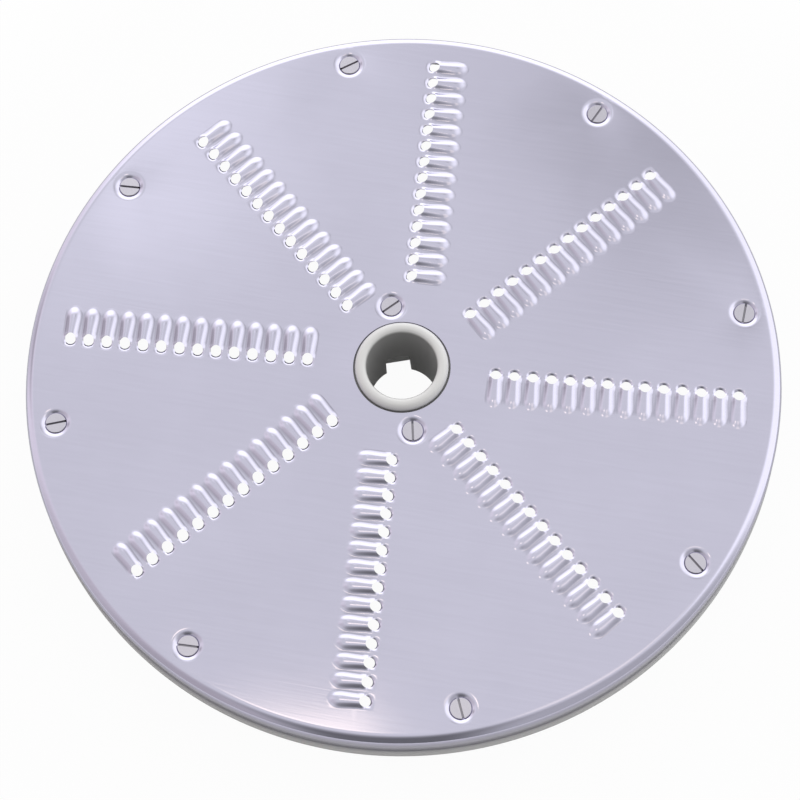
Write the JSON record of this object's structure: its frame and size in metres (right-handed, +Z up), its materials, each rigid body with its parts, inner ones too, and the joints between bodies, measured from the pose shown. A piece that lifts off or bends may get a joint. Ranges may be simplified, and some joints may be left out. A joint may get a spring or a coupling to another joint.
{
  "type": "food processor disc",
  "caption": "Round grating disc for a food processor: a pressed steel plate with rows of raised, holed teeth, screwed to a plastic carrier with a rim band and a slotted drive hub.",
  "frame": {"origin": "centre of the hub's foot, on the spin axis", "axes": "+Z up along the spin axis, out of the toothed face; +Y along the first screw line, which also holds the drive slots; +X to its right"},
  "size_m": [0.205, 0.205, 0.028],
  "materials": {
    "plate": "satin, fine straight grain",
    "carrier": "fine satin moulding",
    "screws": "satin"
  },
  "bodies": {
    "root": {"grating_plate": "plate", "carrier": "carrier", "rim_screws": "screws", "hub_screws": "screws"}
  },
  "joints": []
}
